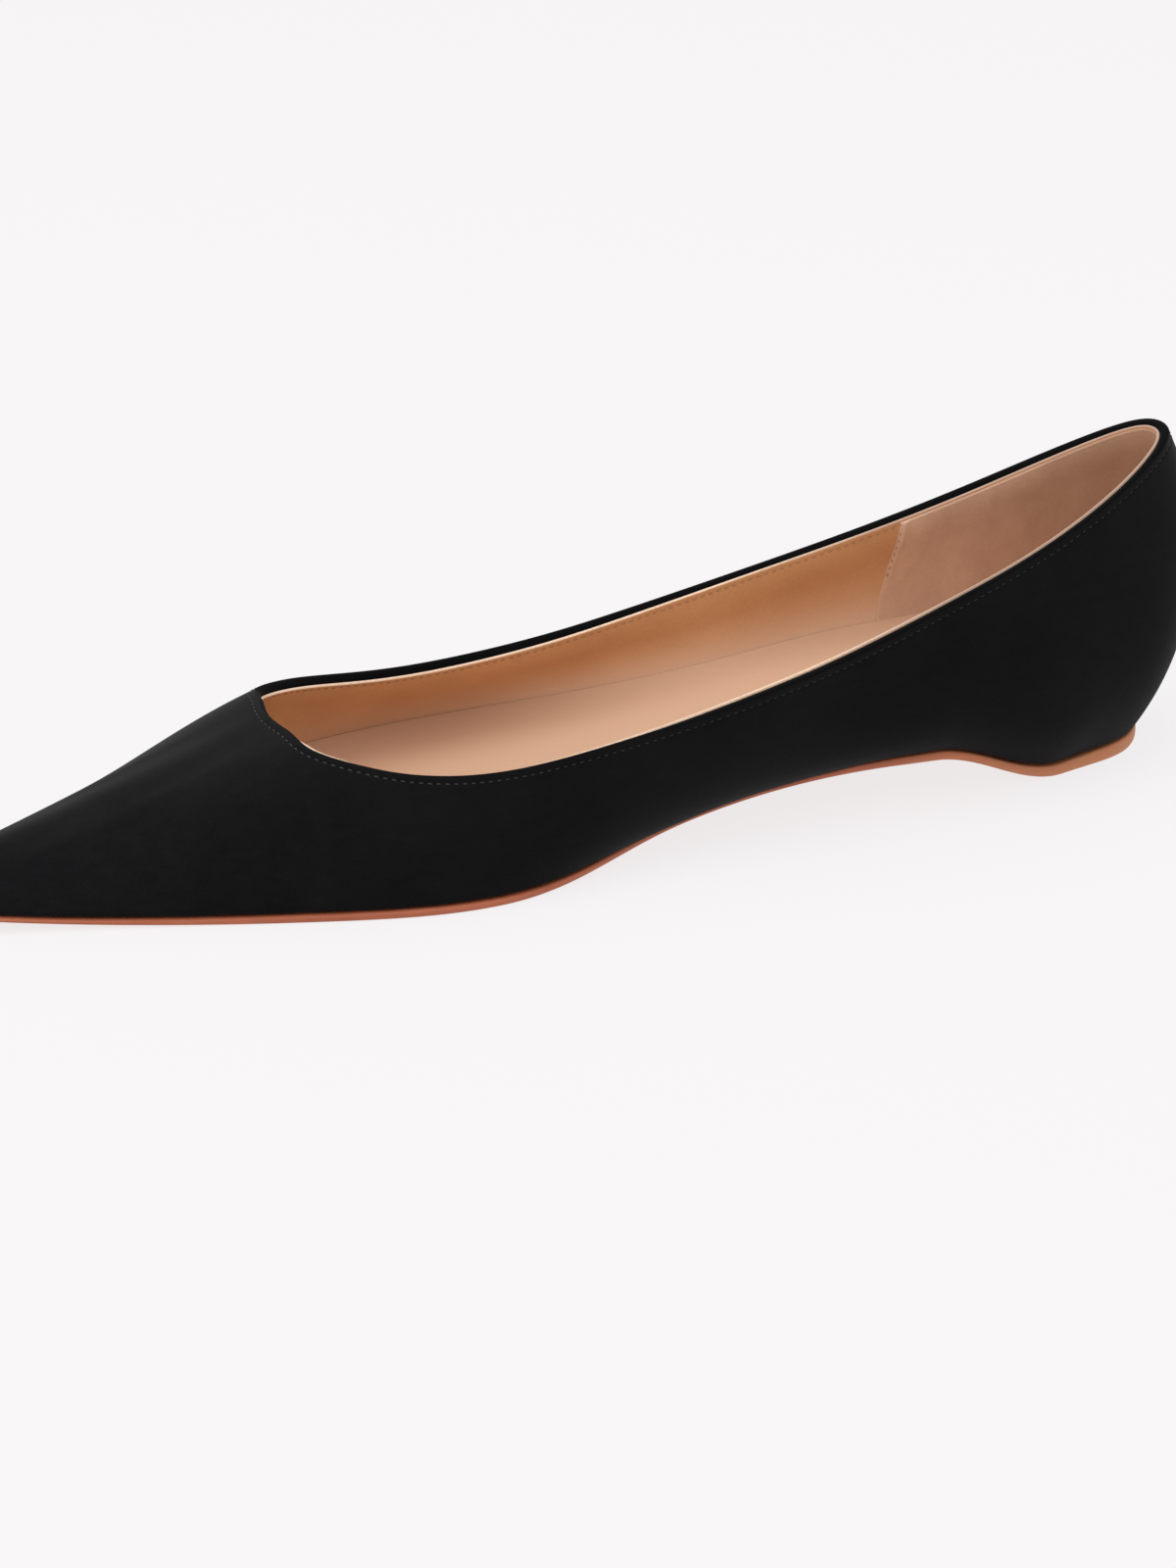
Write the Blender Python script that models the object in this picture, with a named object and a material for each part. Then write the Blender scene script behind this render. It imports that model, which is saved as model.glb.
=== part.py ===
# Pointed toe flat shoe, the right one of a pair: a lined suede upper lasted over a low
# wedge, on one thin leather sole that dips under the heel.
# It stands on z = 0 with the toe towards -X, the heel towards +X and the medial side,
# where the arch of the foot is, towards -Y.

import math
from typing import NamedTuple

import bmesh
import bpy
import numpy as np

# Driving sizes of the shoe, in millimetres
LENGTH = 270.0  # toe tip to the heel's back, which bulges 2.4 mm beyond it
BALL_WIDTH = 75.5  # sole width across the ball of the foot
THROAT_HEIGHT = 31.4  # floor to the topline at the front of the throat
BACK_HEIGHT = 65.0  # floor to the topline at the back of the heel
HEEL_SEAT_HEIGHT = 21.0  # floor to the top of the sock under the foot's heel
WALL = 2.0  # suede, lining and stiffener together
EDGE_ROUNDING = 0.5  # how far the folded topline rises between its two faces
OUTWARD_LEAN = 0.3  # share of the wall by which its top leans square out, not to its foot
GAP = 0.3  # between pieces that lie on each other
MM = 0.001  # metres in a millimetre

# The sole, in millimetres; places are measured along the shoe from the toe tip
TOE_THICKNESS = 0.8
BALL_THICKNESS = 1.5
WAIST_THICKNESS = 0.95
BREAST_THICKNESS = 1.95  # in front of the heel
HEEL_THICKNESS = 3.3
TOE_SPRING = 4.8  # height of the sole's underside at the toe tip
TREAD_FRONT = 72.0  # the forefoot touches the floor from here
TREAD_BACK = 114.0  # to here
ARCH_FRONT = 203.0  # the underside is highest from here
ARCH_BACK = 210.0  # to here
ARCH_HEIGHT = 9.0
HEEL_FRONT = 239.0  # the heel touches the floor from here
HEEL_BACK = 257.0  # to here
BACK_BEVEL = 0.8  # how far the sole's underside rises behind the heel
SOLE_MARGIN = 0.4  # how far the sole stands out from the upper
BACK_MARGIN = 0.0  # the same behind the heel, where the upper hangs over it
WAIST_TUCK = 1.4  # how much further in the sole lies at the medial waist
SOLE_EDGE = [(0.0, 1.0), (0.25, 0.85), (0.25, 0.3), (-0.5, 0.0)]  # out, share of the height

# The footbed, in millimetres
SOCK_THICKNESS = 1.2
FOREFOOT_HEIGHT = 6.6  # floor to the top of the sock under the ball
SEAT_RISE_START = 108.0
SEAT_RISE_END = 228.0
FOOTBED_DISH = 1.0  # how much lower the middle of the footbed lies
TOE_ROOM = 11.0  # the footbed stops this far behind the toe tip

# Mesh density
SIDE_STEPS = 46  # sections round each side, heel to toe
WALL_STEPS = 12  # steps up the wall
ACROSS = np.linspace(0.0, 1.0, 7)  # shares of the way across the footbed


class Section(NamedTuple):
    """One section of the upper's wall, with its two ends: on the sole and at the topline.

    Lengths are shares: along of LENGTH from the toe tip, half-widths of BALL_WIDTH,
    top_rise of the way from THROAT_HEIGHT to BACK_HEIGHT. Angles are in degrees from
    upright: flare leans the wall outwards at the sole, tuck leans it inwards at the
    topline. A pull is how far each end keeps its direction, as a share of the wall."""

    place: str
    foot: float
    foot_medial: float
    foot_lateral: float
    top: float
    top_medial: float
    top_lateral: float
    top_rise: float
    flare_medial: float
    flare_lateral: float
    tuck: float
    low_pull: float
    high_pull: float


SECTIONS = [
    Section("heel back", 0.969, 0.000, 0.000, 0.988, 0.000, 0.000, 1.000, 26, 26, 26, 0.44, 0.38),
    Section("heel corner", 0.948, 0.130, 0.138, 0.976, 0.095, 0.090, 0.960, 35, 35, 20, 0.46, 0.36),
    Section("heel side", 0.906, 0.185, 0.222, 0.935, 0.183, 0.170, 0.805, 44, 42, 17, 0.45, 0.36),
    Section("heel breast", 0.844, 0.240, 0.270, 0.865, 0.257, 0.233, 0.575, 49, 42, 18, 0.45, 0.36),
    Section("shank", 0.764, 0.258, 0.330, 0.787, 0.305, 0.274, 0.368, 54, 32, 16, 0.42, 0.35),
    Section("waist", 0.662, 0.244, 0.366, 0.695, 0.354, 0.319, 0.158, 62, 20, 14, 0.38, 0.34),
    Section("fore waist", 0.562, 0.285, 0.461, 0.603, 0.372, 0.340, -0.010, 60, 10, 20, 0.36, 0.34),
    Section("ball", 0.474, 0.398, 0.553, 0.518, 0.374, 0.348, -0.125, 34, 4, 32, 0.34, 0.36),
    Section("ball front", 0.401, 0.437, 0.553, 0.441, 0.383, 0.356, -0.178, 10, 4, 42, 0.32, 0.39),
    Section("vamp", 0.316, 0.384, 0.468, 0.375, 0.366, 0.340, -0.148, 4, 4, 52, 0.23, 0.42),
    Section("vamp front", 0.224, 0.284, 0.354, 0.334, 0.307, 0.294, -0.090, 3, 3, 62, 0.12, 0.46),
    Section("toe side", 0.129, 0.184, 0.218, 0.303, 0.210, 0.205, -0.030, 2, 2, 68, 0.050, 0.48),
    Section("toe corner", 0.040, 0.094, 0.099, 0.296, 0.102, 0.102, 0.000, 2, 2, 69, 0.035, 0.49),
    Section("toe nose", 0.009, 0.047, 0.049, 0.293, 0.046, 0.046, 0.000, 2, 2, 69, 0.030, 0.49),
    Section("toe tip", 0.000, 0.000, 0.000, 0.292, 0.000, 0.000, 0.000, 2, 2, 70, 0.030, 0.49),
]

SUEDE = ("black_suede", (0.012, 0.012, 0.014), 0.9)
SOCK_LEATHER = ("tan_sock_leather", (0.60, 0.38, 0.24), 0.5)
BOARD = ("insole_board", (0.45, 0.34, 0.24), 0.8)
SOLE_LEATHER = ("russet_sole_leather", (0.45, 0.17, 0.10), 0.55)


def smooth_step(value, start, end):
    """0 up to start, 1 from end, and a smooth rise between them."""
    share = np.clip((value - start) / (end - start), 0.0, 1.0)
    return share * share * (3.0 - 2.0 * share)


def closed_spline(knots, values, period):
    """A smooth curve through values at knots that repeats after period, as a function."""
    count = len(knots)
    spans = np.diff(np.append(knots, knots[0] + period))
    rises = np.diff(np.append(values, values[0])) / spans
    matrix = np.zeros((count, count))
    for i in range(count):
        matrix[i, i - 1] = spans[i - 1]
        matrix[i, i] = 2.0 * (spans[i - 1] + spans[i])
        matrix[i, (i + 1) % count] = spans[i]
    bends = np.linalg.solve(matrix, 6.0 * (rises - np.roll(rises, 1)))

    def curve(spot):
        spot = np.mod(spot - knots[0], period) + knots[0]
        i = np.clip(np.searchsorted(knots, spot, side="right") - 1, 0, count - 1)
        after = (i + 1) % count
        step = spot - knots[i]
        slope = rises[i] - spans[i] * (2.0 * bends[i] + bends[after]) / 6.0
        third = (bends[after] - bends[i]) / (6.0 * spans[i])
        return values[i] + step * (slope + step * (bends[i] / 2.0 + step * third))

    return curve


def side_knots():
    """How far round each section lies, from the heel back, on the mean of both sides."""
    along = np.array([s.foot for s in SECTIONS]) * LENGTH
    half = np.array([s.foot_medial + s.foot_lateral for s in SECTIONS]) * BALL_WIDTH / 2
    return np.concatenate([[0.0], np.cumsum(np.hypot(np.diff(along), np.diff(half)))])


SIDE_LENGTH = side_knots()[-1]


def round_the_shoe(medial, lateral, medial_sign=1.0):
    """A column of SECTIONS as a curve round the shoe: the medial side runs from 0 at the
    heel back to SIDE_LENGTH at the toe tip, and the lateral side from there back."""
    knots = side_knots()
    medial_values = np.array([getattr(s, medial) for s in SECTIONS]) * medial_sign
    lateral_values = np.array([getattr(s, lateral) for s in SECTIONS])
    all_knots = np.concatenate([knots, 2.0 * SIDE_LENGTH - knots[-2:0:-1]])
    all_values = np.concatenate([medial_values, lateral_values[-2:0:-1]])
    return closed_spline(all_knots, all_values.astype(float), 2.0 * SIDE_LENGTH)


foot_along = round_the_shoe("foot", "foot")
foot_across = round_the_shoe("foot_medial", "foot_lateral", -1.0)
top_along = round_the_shoe("top", "top")
top_across = round_the_shoe("top_medial", "top_lateral", -1.0)
top_rise = round_the_shoe("top_rise", "top_rise")
flare = round_the_shoe("flare_medial", "flare_lateral")
tuck = round_the_shoe("tuck", "tuck")
low_pull = round_the_shoe("low_pull", "low_pull")
high_pull = round_the_shoe("high_pull", "high_pull")


def underside(along):
    """Height of the sole's underside: toe spring, tread, arch, heel and the bevel behind it."""
    spring = TOE_SPRING * np.clip(1.0 - along / TREAD_FRONT, 0.0, 1.0) ** 2
    rise = smooth_step(along, TREAD_BACK, ARCH_FRONT)
    fall = smooth_step(along, ARCH_BACK, HEEL_FRONT)
    bevel = BACK_BEVEL * np.clip((along - HEEL_BACK) / (LENGTH - HEEL_BACK), 0.0, 1.0)
    return spring + ARCH_HEIGHT * (rise - fall) + bevel


def sole_top(along):
    """Height of the sole's upper face: the sole is thin at the toe and at the waist, and
    thickest at the back of the heel."""
    thick = TOE_THICKNESS + (BALL_THICKNESS - TOE_THICKNESS) * smooth_step(along, 15.0, 85.0)
    thick -= (BALL_THICKNESS - WAIST_THICKNESS) * smooth_step(along, 136.0, 158.0)
    thick += (BREAST_THICKNESS - WAIST_THICKNESS) * smooth_step(along, 172.0, 212.0)
    thick += (HEEL_THICKNESS - BREAST_THICKNESS) * smooth_step(along, 215.0, 266.0)
    return underside(along) + thick


def sock_top(along):
    """Height of the footbed's surface at its edge."""
    spring = TOE_SPRING * np.clip(1.0 - along / TREAD_FRONT, 0.0, 1.0) ** 2
    seat = HEEL_SEAT_HEIGHT - FOREFOOT_HEIGHT
    return FOREFOOT_HEIGHT + spring + seat * smooth_step(along, SEAT_RISE_START, SEAT_RISE_END)


def foot_line(turn):
    """Points where the upper's wall stands on the sole, and its outward direction there."""
    along = foot_along(turn) * LENGTH
    across = foot_across(turn) * BALL_WIDTH
    points = np.stack([along, across, sole_top(along) + GAP], axis=-1)
    return points, outward(foot_along, foot_across, turn)


def top_line(turn):
    """Points of the topline, round the throat and the collar, and its outward direction."""
    height = THROAT_HEIGHT + top_rise(turn) * (BACK_HEIGHT - THROAT_HEIGHT)
    along = top_along(turn) * LENGTH
    points = np.stack([along, top_across(turn) * BALL_WIDTH, height], axis=-1)
    return points, outward(top_along, top_across, turn)


def outward(along, across, turn):
    """The level direction square to a line round the shoe, pointing out of it."""
    step = 0.05
    forward = (along(turn + step) - along(turn - step)) * LENGTH
    sideways = (across(turn + step) - across(turn - step)) * BALL_WIDTH
    size = np.hypot(forward, sideways)
    return np.stack([-sideways / size, forward / size, np.zeros_like(size)], axis=-1)


def wall_face(turn, up):
    """Points of the upper's outer face: turn goes round the shoe, up goes from the sole,
    0, to the topline, 1. The result has a row for each turn and a column for each up."""
    foot, foot_out = foot_line(turn)
    top, top_out = top_line(turn)
    reach = np.linalg.norm(top - foot, axis=-1, keepdims=True)
    forward = (foot - top) * [1.0, 1.0, 0.0] + OUTWARD_LEAN * reach * top_out
    forward /= np.linalg.norm(forward, axis=-1, keepdims=True)
    lean_out = np.radians(flare(turn))[:, None]
    lean_in = np.radians(tuck(turn))[:, None]
    upright = np.array([0.0, 0.0, 1.0])
    low_arm = low_pull(turn)[:, None] * reach
    high_arm = high_pull(turn)[:, None] * reach
    low = foot + low_arm * (np.sin(lean_out) * foot_out + np.cos(lean_out) * upright)
    high = top + high_arm * (np.sin(lean_in) * forward - np.cos(lean_in) * upright)
    face = np.zeros((len(foot), len(up), 3))
    weights = [(1 - up) ** 3, 3 * up * (1 - up) ** 2, 3 * up**2 * (1 - up), up**3]
    for point, weight in zip((foot, low, high, top), weights):
        face += point[:, None, :] * weight[None, :, None]
    return face


def wall_inside(turn, up, depth):
    """Points at a depth under the upper's outer face, square to it and never in the sole."""
    step_turn = 0.05
    step_up = 0.001
    round_it = wall_face(turn + step_turn, up) - wall_face(turn - step_turn, up)
    climb = wall_face(turn, np.minimum(up + step_up, 1.0))
    climb -= wall_face(turn, np.maximum(up - step_up, 0.0))
    normal = np.cross(climb, round_it)
    normal /= np.linalg.norm(normal, axis=-1, keepdims=True)
    points = wall_face(turn, up) - depth * normal
    points[..., 2] = np.maximum(points[..., 2], sole_top(points[..., 0]) + GAP + up)
    return points


def wall_foot_inside(turn, depth):
    """Points where a face at a depth inside the wall comes down on the sole."""
    foot, direction = foot_line(turn)
    inner = foot - (depth / np.cos(np.radians(flare(turn))))[:, None] * direction
    inner[:, 2] = sole_top(inner[:, 0]) + GAP
    return inner


def side_turns(count):
    """Places round one side, heel back to toe tip, closer together at both ends."""
    even = np.linspace(0.0, 1.0, count + 1)
    eased = (1.0 - np.cos(np.pi * even)) / 2.0
    return (0.45 * even + 0.55 * eased) * SIDE_LENGTH


def place(points):
    """From sizes along and across the shoe, in millimetres, to the part's own frame."""
    moved = np.array(points, float)
    moved[..., 0] -= LENGTH / 2.0
    moved[..., 1] -= side_shift()
    return moved * MM


def side_shift():
    """How far the middle of the shoe's width lies from the line through heel and toe."""
    turn = np.linspace(0.0, 2.0 * SIDE_LENGTH, 200)
    across = wall_face(turn, np.linspace(0.0, 1.0, 20))[..., 1]
    return (across.min() + across.max()) / 2.0


def add_piece(name, mesh_data, finish, collection):
    """Adds one named solid with its own material, smooth over soft bends."""
    mesh = bpy.data.meshes.new(name)
    mesh_data.to_mesh(mesh)
    mesh_data.free()
    mesh.shade_smooth()
    mesh.set_sharp_from_angle(angle=math.radians(40))
    piece = bpy.data.objects.new(name, mesh)
    slot, colour, roughness = finish
    material = bpy.data.materials.new(slot)
    material.use_nodes = True
    surface = material.node_tree.nodes["Principled BSDF"]
    surface.inputs["Base Color"].default_value = (*colour, 1.0)
    surface.inputs["Roughness"].default_value = roughness
    surface.inputs["Metallic"].default_value = 0.0
    mesh.materials.append(material)
    collection.objects.link(piece)
    return piece


def loft(rows, closed):
    """A solid through a row of closed sections, all with as many points. Closed rows run
    round a ring; otherwise the first and last sections are folded flat and meet themselves."""
    solid = bmesh.new()
    grid = [[solid.verts.new(point) for point in row] for row in place(rows)]
    count = len(grid)
    around = len(grid[0])
    for i in range(count if closed else count - 1):
        here = grid[i]
        there = grid[(i + 1) % count]
        for j in range(around):
            k = (j + 1) % around
            solid.faces.new((here[j], there[j], there[k], here[k]))
    bmesh.ops.remove_doubles(solid, verts=solid.verts, dist=0.00001)
    bmesh.ops.dissolve_degenerate(solid, dist=0.00001, edges=solid.edges)
    bmesh.ops.recalc_face_normals(solid, faces=solid.faces)
    return solid


def make_upper(collection):
    """One hollow wall round the foot, open at the throat and collar and under the footbed."""
    medial = side_turns(SIDE_STEPS)
    turn = np.concatenate([medial, 2.0 * SIDE_LENGTH - medial[-2:0:-1]])
    up = np.linspace(0.0, 1.0, WALL_STEPS + 1)
    outside = wall_face(turn, up)
    inside = wall_inside(turn, up, WALL)
    inside[:, 0] = wall_foot_inside(turn, WALL)
    crest = (outside[:, -1:] + inside[:, -1:]) / 2.0
    crest[..., 2] += EDGE_ROUNDING
    rows = np.concatenate([outside, crest, inside[:, ::-1]], axis=1)
    return add_piece("upper", loft(rows, True), SUEDE, collection)


def sole_side(turn):
    """The sole's edge: a softened profile at each place round the line of the foot."""
    foot, direction = foot_line(turn)
    low = underside(foot[:, 0])
    thick = foot[:, 2] - GAP - low
    starts = smooth_step(foot[:, 0], TREAD_BACK, ARCH_FRONT - 45.0)
    ends = smooth_step(foot[:, 0], ARCH_FRONT - 30.0, HEEL_FRONT)
    tuck_in = np.where(foot[:, 1] < 0.0, WAIST_TUCK * starts * (1.0 - ends), 0.0)
    margin = SOLE_MARGIN + (BACK_MARGIN - SOLE_MARGIN) * smooth_step(foot[:, 0], HEEL_FRONT, HEEL_BACK)
    profile = []
    for out, height in SOLE_EDGE:
        point = foot + (margin - tuck_in + out)[:, None] * direction
        point[:, 2] = low + thick * height
        profile.append(point)
    return np.stack(profile, axis=1)


def make_outsole(collection):
    """One thin sole, lofted from the medial side to the lateral along the shoe."""
    turn = side_turns(SIDE_STEPS)
    medial = sole_side(turn)
    lateral = sole_side(2.0 * SIDE_LENGTH - turn)
    rows = np.concatenate([medial, lateral[:, ::-1]], axis=1)
    return add_piece("outsole", loft(rows, False), SOLE_LEATHER, collection)


def bed_edge(turn, height):
    """Where a footbed piece, seen from above, reaches the upper's lining at a given height."""
    lining = wall_inside(turn, np.linspace(0.0, 1.0, 60), WALL + GAP)
    points = []
    for line in lining:
        wanted = float(height(line[0, 0]))
        i = int(np.clip(np.argmax(line[:, 2] >= wanted), 1, 58))
        share = (wanted - line[i - 1, 2]) / (line[i, 2] - line[i - 1, 2])
        point = line[i - 1] + share * (line[i] - line[i - 1])
        points.append([point[0], point[1], wanted])
    return np.array(points)


def bed_ring(near, far, dishes):
    """A closed section of a footbed piece from its two edges, listed from the bottom up.
    Each of its faces dips in the middle by its dish, less where the piece is narrow."""
    faces = []
    for low, high, dish in ((near[0], far[0], dishes[0]), (near[-1], far[-1], dishes[1])):
        dip = 4.0 * dish * min(abs(high[1] - low[1]) / 40.0, 1.0)
        faces.append([low + s * (high - low) - [0, 0, dip * s * (1 - s)] for s in ACROSS])
    return faces[1] + list(far[-2:0:-1]) + faces[0][::-1] + list(near[1:-1])


def make_bed(name, under, over, dishes, finish, collection):
    """A footbed piece between two heights, fitted to the lining at its edge."""
    turn = side_turns(SIDE_STEPS)
    turn = turn[foot_along(turn) * LENGTH > TOE_ROOM]
    heights = [lambda a, s=s: (1 - s) * under(a) + s * over(a) for s in (0.0, 0.33, 0.67, 1.0)]
    medial = np.stack([bed_edge(turn, height) for height in heights], axis=1)
    lateral = np.stack([bed_edge(2.0 * SIDE_LENGTH - turn, height) for height in heights], axis=1)
    rows = [bed_ring(near, far, dishes) for near, far in zip(medial, lateral)]
    nose = (medial[-1] + lateral[-1]) / 2.0
    rows.append(bed_ring(nose, nose, dishes))
    return add_piece(name, loft(np.array(rows), False), finish, collection)


def make_footbed(collection):
    """The insole board with the wedge built up under the heel, and the sock that covers it."""

    def insole_under(along):
        return sole_top(along) + GAP

    def insole_over(along):
        return sock_top(along) - SOCK_THICKNESS - GAP

    def sock_under(along):
        return sock_top(along) - SOCK_THICKNESS

    make_bed("insole", insole_under, insole_over, (0.0, FOOTBED_DISH), BOARD, collection)
    make_bed("sock", sock_under, sock_top, (FOOTBED_DISH, FOOTBED_DISH), SOCK_LEATHER, collection)


def main():
    for old in list(bpy.data.objects):
        bpy.data.objects.remove(old)
    collection = bpy.data.collections.new("pointed_toe_flat")
    bpy.context.scene.collection.children.link(collection)
    make_outsole(collection)
    make_footbed(collection)
    make_upper(collection)


main()
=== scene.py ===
# Pointed toe flat shoe, the right one of a pair: its looks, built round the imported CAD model.
# Everything is worked out in millimetres: along from the toe tip, across towards the
# lateral side, and up from the floor. onFrame() takes the points to the model's own frame.

import math

import bmesh
import bpy
import numpy as np
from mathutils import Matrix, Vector


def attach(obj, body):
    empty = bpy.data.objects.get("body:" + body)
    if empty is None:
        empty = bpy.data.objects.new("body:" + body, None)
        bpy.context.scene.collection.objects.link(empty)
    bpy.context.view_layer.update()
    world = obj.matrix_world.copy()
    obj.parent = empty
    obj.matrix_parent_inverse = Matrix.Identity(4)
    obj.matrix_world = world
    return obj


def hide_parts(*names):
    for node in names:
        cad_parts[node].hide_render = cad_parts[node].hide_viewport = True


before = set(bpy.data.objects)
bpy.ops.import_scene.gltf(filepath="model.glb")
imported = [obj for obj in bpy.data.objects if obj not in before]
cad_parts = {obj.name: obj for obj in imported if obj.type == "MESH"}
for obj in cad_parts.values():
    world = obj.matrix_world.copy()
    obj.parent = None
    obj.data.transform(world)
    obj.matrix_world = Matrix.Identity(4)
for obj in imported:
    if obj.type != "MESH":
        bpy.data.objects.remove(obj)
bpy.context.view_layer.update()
print("frame loaded:", ", ".join(sorted(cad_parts)))

# The last has the same sizes and sections as the CAD model.

last = {
    "length": 270.0,
    "ballWidth": 75.5,
    "throatHeight": 31.4,
    "backHeight": 65.0,
    "seatHeight": 21.0,
    "forefootHeight": 6.6,
    "wall": 2.0,
    "outwardLean": 0.3,
    "gap": 0.3,
    "sockThickness": 1.2,
    "footbedDish": 1.0,
    "toeRoom": 11.0,
    "toeThickness": 0.8,
    "ballThickness": 1.5,
    "waistThickness": 0.95,
    "breastThickness": 1.95,
    "heelThickness": 3.3,
    "toeSpring": 4.8,
    "treadFront": 72.0,
    "treadBack": 114.0,
    "archFront": 203.0,
    "archBack": 210.0,
    "archHeight": 9.0,
    "heelFront": 239.0,
    "heelBack": 257.0,
    "backBevel": 0.8,
    "soleMargin": 0.4,
    "backMargin": 0.0,
    "waistTuck": 1.4,
    "ballThickens": (15.0, 85.0),  # from and to, along
    "waistThins": (136.0, 158.0),
    "breastThickens": (172.0, 212.0),
    "heelThickens": (215.0, 266.0),
    "seatRises": (108.0, 228.0),
}

# foot, medial, lateral | top, medial, lateral, rise | flare medial, lateral, tuck | pulls
sections = [
    (0.969, 0.000, 0.000, 0.988, 0.000, 0.000, 1.000, 26, 26, 26, 0.44, 0.38),  # heel back
    (0.948, 0.130, 0.138, 0.976, 0.095, 0.090, 0.960, 35, 35, 20, 0.46, 0.36),  # heel corner
    (0.906, 0.185, 0.222, 0.935, 0.183, 0.170, 0.805, 44, 42, 17, 0.45, 0.36),  # heel side
    (0.844, 0.240, 0.270, 0.865, 0.257, 0.233, 0.575, 49, 42, 18, 0.45, 0.36),  # heel breast
    (0.764, 0.258, 0.330, 0.787, 0.305, 0.274, 0.368, 54, 32, 16, 0.42, 0.35),  # shank
    (0.662, 0.244, 0.366, 0.695, 0.354, 0.319, 0.158, 62, 20, 14, 0.38, 0.34),  # waist
    (0.562, 0.285, 0.461, 0.603, 0.372, 0.340, -0.010, 60, 10, 20, 0.36, 0.34),  # fore waist
    (0.474, 0.398, 0.553, 0.518, 0.374, 0.348, -0.125, 34, 4, 32, 0.34, 0.36),  # ball
    (0.401, 0.437, 0.553, 0.441, 0.383, 0.356, -0.178, 10, 4, 42, 0.32, 0.39),  # ball front
    (0.316, 0.384, 0.468, 0.375, 0.366, 0.340, -0.148, 4, 4, 52, 0.23, 0.42),  # vamp
    (0.224, 0.284, 0.354, 0.334, 0.307, 0.294, -0.090, 3, 3, 62, 0.12, 0.46),  # vamp front
    (0.129, 0.184, 0.218, 0.303, 0.210, 0.205, -0.030, 2, 2, 68, 0.050, 0.48),  # toe side
    (0.040, 0.094, 0.099, 0.296, 0.102, 0.102, 0.000, 2, 2, 69, 0.035, 0.49),  # toe corner
    (0.009, 0.047, 0.049, 0.293, 0.046, 0.046, 0.000, 2, 2, 69, 0.030, 0.49),  # toe nose
    (0.000, 0.000, 0.000, 0.292, 0.000, 0.000, 0.000, 2, 2, 70, 0.030, 0.49),  # toe tip
]


def smoothStep(value, start, end):
    share = np.clip((value - start) / (end - start), 0.0, 1.0)
    return share * share * (3.0 - 2.0 * share)


def closedSpline(knots, values, period):
    count = len(knots)
    spans = np.diff(np.append(knots, knots[0] + period))
    rises = np.diff(np.append(values, values[0])) / spans
    matrix = np.zeros((count, count))
    for i in range(count):
        matrix[i, i - 1] = spans[i - 1]
        matrix[i, i] = 2.0 * (spans[i - 1] + spans[i])
        matrix[i, (i + 1) % count] = spans[i]
    bends = np.linalg.solve(matrix, 6.0 * (rises - np.roll(rises, 1)))

    def curve(spot):
        spot = np.mod(spot - knots[0], period) + knots[0]
        i = np.clip(np.searchsorted(knots, spot, side="right") - 1, 0, count - 1)
        after = (i + 1) % count
        step = spot - knots[i]
        slope = rises[i] - spans[i] * (2.0 * bends[i] + bends[after]) / 6.0
        third = (bends[after] - bends[i]) / (6.0 * spans[i])
        return values[i] + step * (slope + step * (bends[i] / 2.0 + step * third))

    return curve


table = np.array(sections)
knotAlong = table[:, 0] * last["length"]
knotHalf = (table[:, 1] + table[:, 2]) * last["ballWidth"] / 2.0
sideKnots = np.concatenate([[0.0], np.cumsum(np.hypot(np.diff(knotAlong), np.diff(knotHalf)))])
sideLength = sideKnots[-1]  # round one side of the shoe, heel back to toe tip


def roundTheShoe(medial, lateral, medialSign=1.0):
    knots = np.concatenate([sideKnots, 2.0 * sideLength - sideKnots[-2:0:-1]])
    values = np.concatenate([table[:, medial] * medialSign, table[-2:0:-1, lateral]])
    return closedSpline(knots, values, 2.0 * sideLength)


footAlong = roundTheShoe(0, 0)
footAcross = roundTheShoe(1, 2, -1.0)
topAlong = roundTheShoe(3, 3)
topAcross = roundTheShoe(4, 5, -1.0)
topRise = roundTheShoe(6, 6)
flare = roundTheShoe(7, 8)
tuck = roundTheShoe(9, 9)
lowPull = roundTheShoe(10, 10)
highPull = roundTheShoe(11, 11)


def toeSpring(along):
    return last["toeSpring"] * np.clip(1.0 - along / last["treadFront"], 0.0, 1.0) ** 2


def underside(along):
    rise = smoothStep(along, last["treadBack"], last["archFront"])
    fall = smoothStep(along, last["archBack"], last["heelFront"])
    behind = np.clip((along - last["heelBack"]) / (last["length"] - last["heelBack"]), 0.0, 1.0)
    return toeSpring(along) + last["archHeight"] * (rise - fall) + last["backBevel"] * behind


def soleTop(along):
    toe, ball, waist = (last[spot + "Thickness"] for spot in ("toe", "ball", "waist"))
    breast, heel = last["breastThickness"], last["heelThickness"]
    thick = toe + (ball - toe) * smoothStep(along, *last["ballThickens"])
    thick -= (ball - waist) * smoothStep(along, *last["waistThins"])
    thick += (breast - waist) * smoothStep(along, *last["breastThickens"])
    thick += (heel - breast) * smoothStep(along, *last["heelThickens"])
    return underside(along) + thick


def sockTop(along):
    seat = (last["seatHeight"] - last["forefootHeight"]) * smoothStep(along, *last["seatRises"])
    return last["forefootHeight"] + toeSpring(along) + seat


def outward(along, across, turn):
    forward = (along(turn + 0.05) - along(turn - 0.05)) * last["length"]
    sideways = (across(turn + 0.05) - across(turn - 0.05)) * last["ballWidth"]
    size = np.hypot(forward, sideways)
    return np.stack([-sideways / size, forward / size, np.zeros_like(size)], axis=-1)


def footLine(turn):
    along = footAlong(turn) * last["length"]
    across = footAcross(turn) * last["ballWidth"]
    points = np.stack([along, across, soleTop(along) + last["gap"]], axis=-1)
    return points, outward(footAlong, footAcross, turn)


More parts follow.
